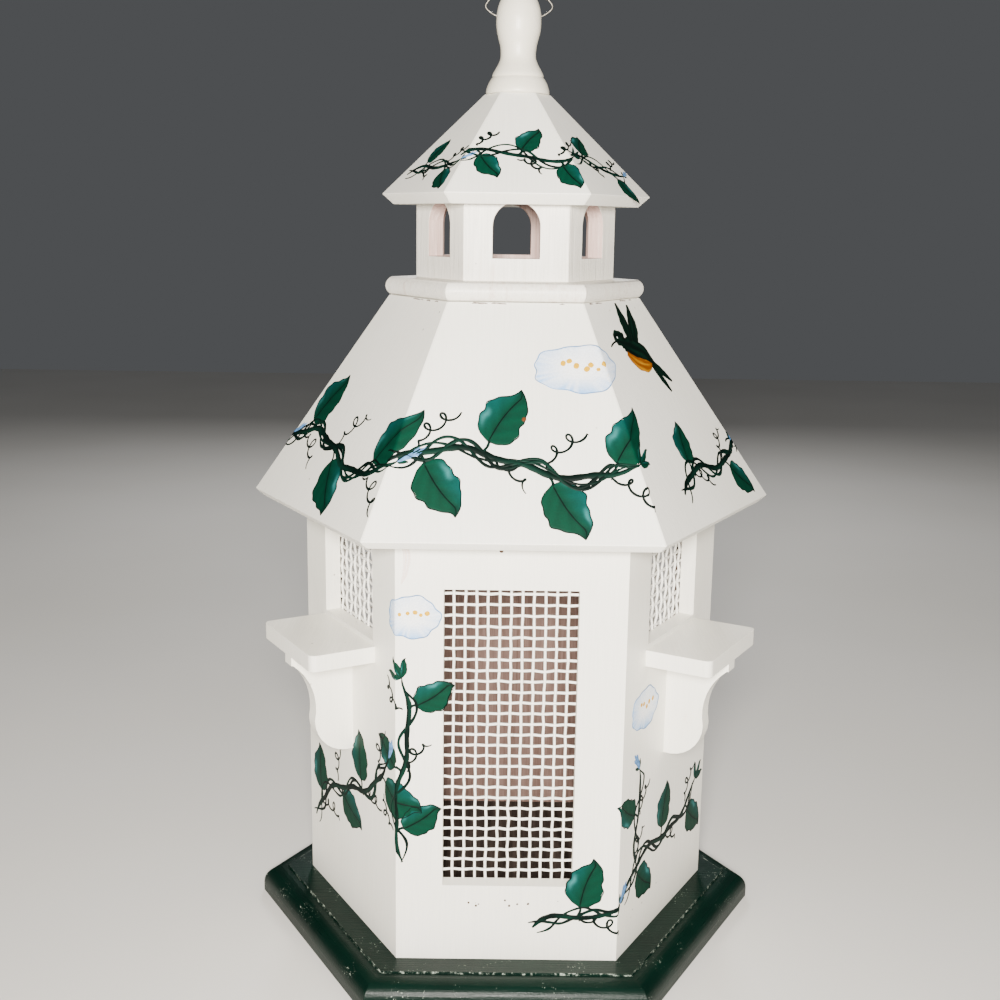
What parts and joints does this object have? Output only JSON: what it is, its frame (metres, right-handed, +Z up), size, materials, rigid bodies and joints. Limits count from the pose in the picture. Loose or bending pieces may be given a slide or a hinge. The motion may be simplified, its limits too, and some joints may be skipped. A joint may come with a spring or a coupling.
{
  "type": "birdhouse",
  "caption": "Six-sided painted wooden birdhouse with screened windows, perch shelves on brackets, a steep lift-off roof, a windowed cupola and a turned finial with a wire bail.",
  "frame": {"origin": "centre of the base's underside, where the house stands", "axes": "+Z up along the six-sided house, -Y out of the front tall window, +X to the right seen from the front"},
  "size_m": [0.3186, 0.287, 0.5766],
  "materials": {
    "ivory_paint": "pine board brushed with ivory semi-gloss paint, with a hand-painted vine",
    "green_paint": "pine board brushed with dark hunter-green gloss paint, scratched",
    "painted_wire": "galvanised wire cloth brushed with ivory paint",
    "raw_wood": "bare pinkish-brown wood",
    "zinc_steel": "zinc-plated screws and staples",
    "hanger_wire": "thin annealed steel wire"
  },
  "bodies": {
    "house": {"base_plinth": "green_paint", "floor_screws": "zinc_steel", "wall_front": "ivory_paint", "wall_front_right": "ivory_paint", "wall_back_right": "ivory_paint", "wall_back": "ivory_paint", "wall_back_left": "ivory_paint", "wall_front_left": "ivory_paint", "screen_front": "painted_wire", "screen_front_right": "painted_wire", "screen_back_right": "painted_wire", "screen_back": "painted_wire", "screen_back_left": "painted_wire", "screen_front_left": "painted_wire", "screen_staples": "zinc_steel", "shelf_front_right": "ivory_paint", "shelf_back": "ivory_paint", "shelf_front_left": "ivory_paint", "bracket_front_right": "ivory_paint", "bracket_back": "ivory_paint", "bracket_front_left": "ivory_paint", "shelf_screws": "zinc_steel", "bracket_screws": "zinc_steel"},
    "roof": {"roof_panel_front": "ivory_paint", "roof_panel_front_right": "ivory_paint", "roof_panel_back_right": "ivory_paint", "roof_panel_back": "ivory_paint", "roof_panel_back_left": "ivory_paint", "roof_panel_front_left": "ivory_paint", "collar": "ivory_paint", "cupola_wall_front": "ivory_paint", "cupola_wall_front_right": "ivory_paint", "cupola_wall_back_right": "ivory_paint", "cupola_wall_back": "ivory_paint", "cupola_wall_back_left": "ivory_paint", "cupola_wall_front_left": "ivory_paint", "cupola_roof_front": "ivory_paint", "cupola_roof_front_right": "ivory_paint", "cupola_roof_back_right": "ivory_paint", "cupola_roof_back": "ivory_paint", "cupola_roof_back_left": "ivory_paint", "cupola_roof_front_left": "ivory_paint", "apex_block": "raw_wood", "finial_dowel": "raw_wood", "finial": "ivory_paint"},
    "bail": {"hanging_bail": "hanger_wire"}
  },
  "joints": [
    {"name": "roof_lift", "type": "slide", "parent": "house", "child": "roof", "axis": [0, 0, 1], "range_m": [0, 0.15]},
    {"name": "bail_swing", "type": "hinge", "parent": "roof", "child": "bail", "pos_m": [0, 0, 0.5501], "axis": [1, 0, 0], "range_deg": [-120, 120]}
  ]
}
